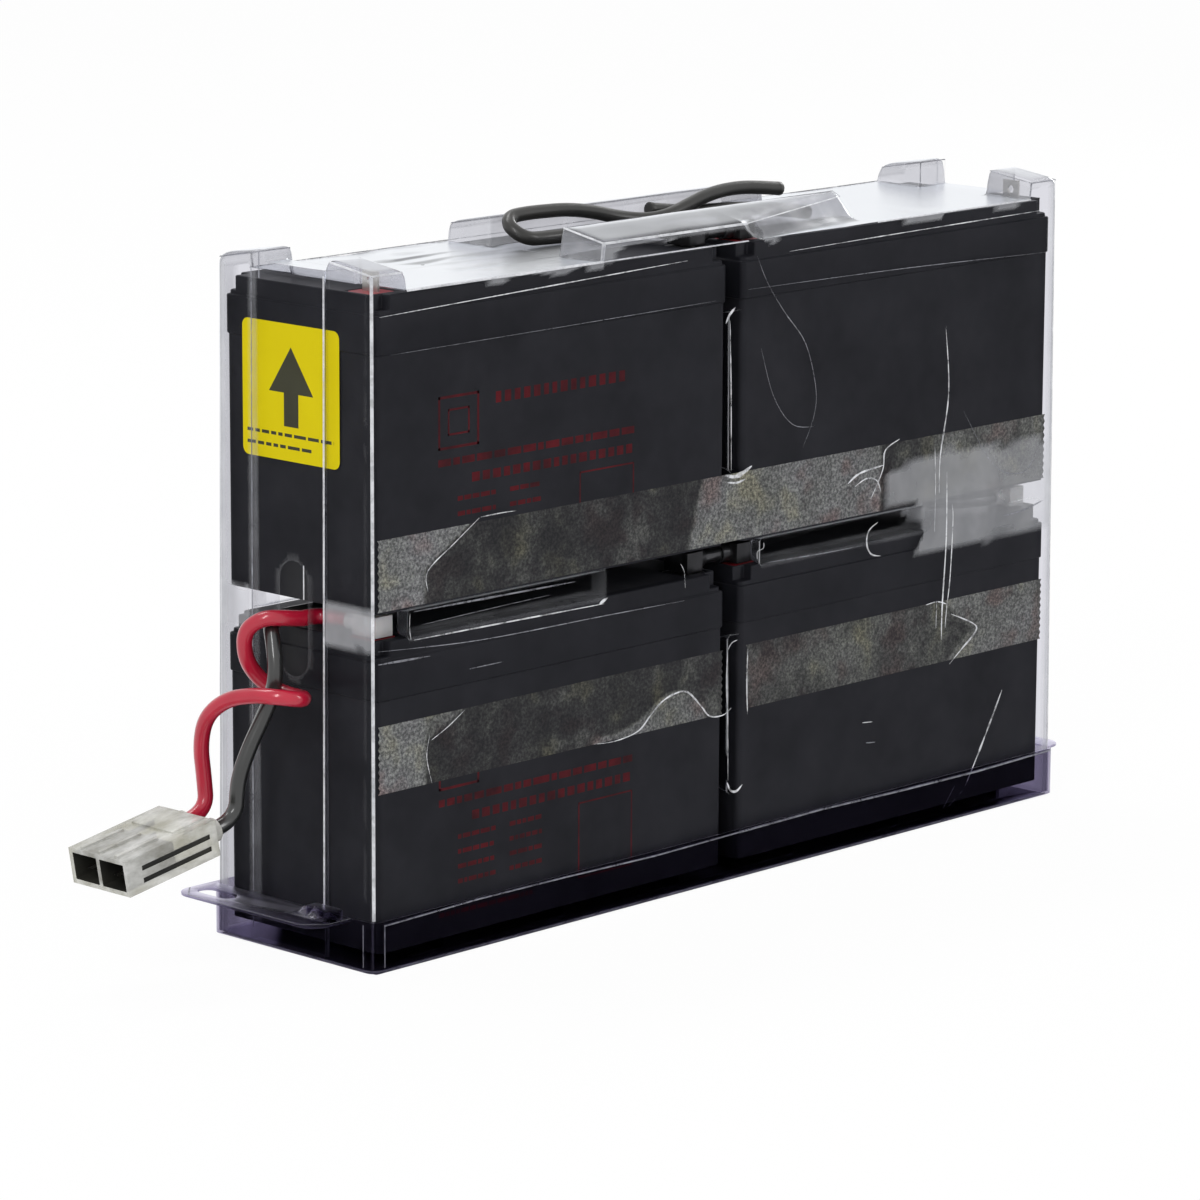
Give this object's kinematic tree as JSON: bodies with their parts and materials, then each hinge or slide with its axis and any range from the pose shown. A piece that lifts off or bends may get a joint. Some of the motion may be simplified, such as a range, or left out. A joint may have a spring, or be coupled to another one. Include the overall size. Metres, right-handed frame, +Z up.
{
  "type": "ups battery cartridge",
  "caption": "Block of sealed batteries, two wide and two high, in a clear formed film cover and tray, with red and black leads to a two-pole connector.",
  "frame": {"origin": "The middle of the pack's underside: midway between the left and right batteries and between their front and back faces, on the surface that the tray stands on.", "axes": "+X runs along the pack away from the leads, -Y is the front long face, +Z is up."},
  "size_m": [0.3928, 0.071, 0.2135],
  "materials": {
    "clear_film": "clear vacuum-formed film, slightly violet, glossy",
    "tray_film": "clear vacuum-formed film, blue-violet, glossy",
    "battery_case": "moulded black plastic, fine satin",
    "battery_lid": "moulded black plastic, fine satin",
    "red_seal": "poured red resin",
    "black_seal": "poured black resin",
    "tinned_brass": "tin-plated brass, dull",
    "white_nylon": "translucent white nylon",
    "red_insulation": "glossy flexible insulation",
    "black_insulation": "satin flexible insulation",
    "housing_nylon": "natural translucent nylon",
    "frosted_tape": "frosted tape with clear wetted patches",
    "yellow_label": "coated yellow label with a dark arrow"
  },
  "bodies": {
    "root": {"black_lead": "black_insulation", "black_lead_boot": "white_nylon", "black_lead_inside": "black_insulation", "bottom_tray": "tray_film", "connector_contact_negative": "tinned_brass", "connector_contact_positive": "tinned_brass", "connector_housing": "housing_nylon", "direction_label": "yellow_label", "lower_left_case": "battery_case", "lower_left_lid": "battery_lid", "lower_left_link_boot": "white_nylon", "lower_left_negative_seal": "black_seal", "lower_left_negative_tab": "tinned_brass", "lower_left_positive_seal": "red_seal", "lower_left_positive_tab": "tinned_brass", "lower_left_tape": "frosted_tape", "lower_left_vent_cover": "battery_lid", "lower_link": "black_insulation", "lower_right_case": "battery_case", "lower_right_lid": "battery_lid", "lower_right_link_boot": "white_nylon", "lower_right_negative_seal": "black_seal", "lower_right_negative_tab": "tinned_brass", "lower_right_positive_seal": "red_seal", "lower_right_positive_tab": "tinned_brass", "lower_right_tape": "frosted_tape", "lower_right_vent_cover": "battery_lid", "red_lead": "red_insulation", "red_lead_boot": "white_nylon", "red_lead_inside": "red_insulation", "top_cover": "clear_film", "top_loop_cable": "black_insulation", "top_tail_cable": "black_insulation", "upper_left_case": "battery_case", "upper_left_lid": "battery_lid", "upper_left_link_boot": "white_nylon", "upper_left_negative_seal": "black_seal", "upper_left_negative_tab": "tinned_brass", "upper_left_positive_seal": "red_seal", "upper_left_positive_tab": "tinned_brass", "upper_left_vent_cover": "battery_lid", "upper_link": "black_insulation", "upper_right_case": "battery_case", "upper_right_lid": "battery_lid", "upper_right_link_boot": "white_nylon", "upper_right_negative_seal": "black_seal", "upper_right_negative_tab": "tinned_brass", "upper_right_positive_seal": "red_seal", "upper_right_positive_tab": "tinned_brass", "upper_right_vent_cover": "battery_lid", "upper_tape": "frosted_tape"}
  },
  "joints": []
}
